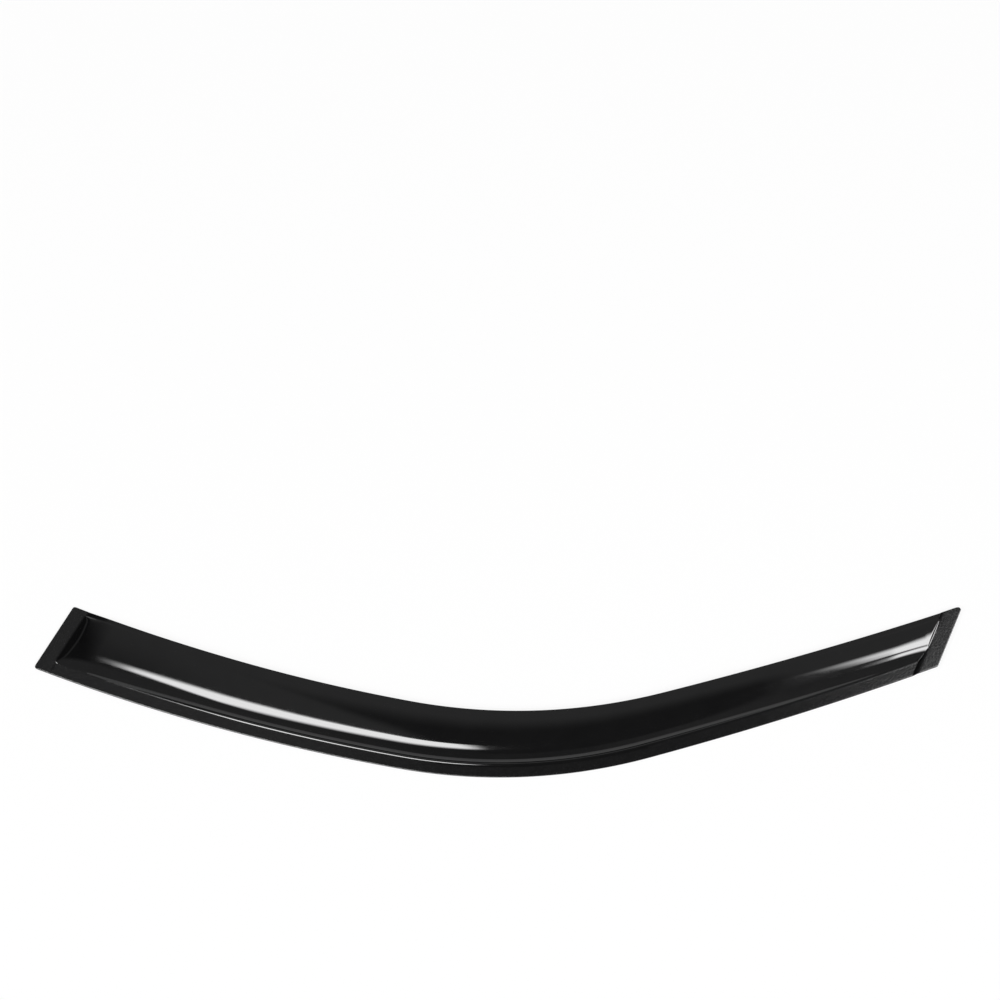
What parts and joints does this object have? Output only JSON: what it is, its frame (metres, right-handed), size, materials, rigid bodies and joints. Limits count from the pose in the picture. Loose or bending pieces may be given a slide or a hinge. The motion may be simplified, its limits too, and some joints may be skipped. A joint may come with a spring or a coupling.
{
  "type": "window rain deflector",
  "caption": "Long curved rain deflector for a car's side window: a thin dark sheet with a flat bonding flange, a raised hood with a stepped free edge, and a flat tab across each end.",
  "frame": {"origin": "centre of the length and width, at the back of the bonding flange, on which the part lies", "axes": "+X along the length, from the rear end to the front end; +Y from the flange towards the free edge; +Z from the back of the flange up to the hood"},
  "size_m": [0.9786, 0.1824, 0.0155],
  "materials": {
    "smoke_acrylic": "gloss hood, fine matte grain on the flange and the end tabs"
  },
  "bodies": {
    "root": {"deflector": "smoke_acrylic"}
  },
  "joints": []
}
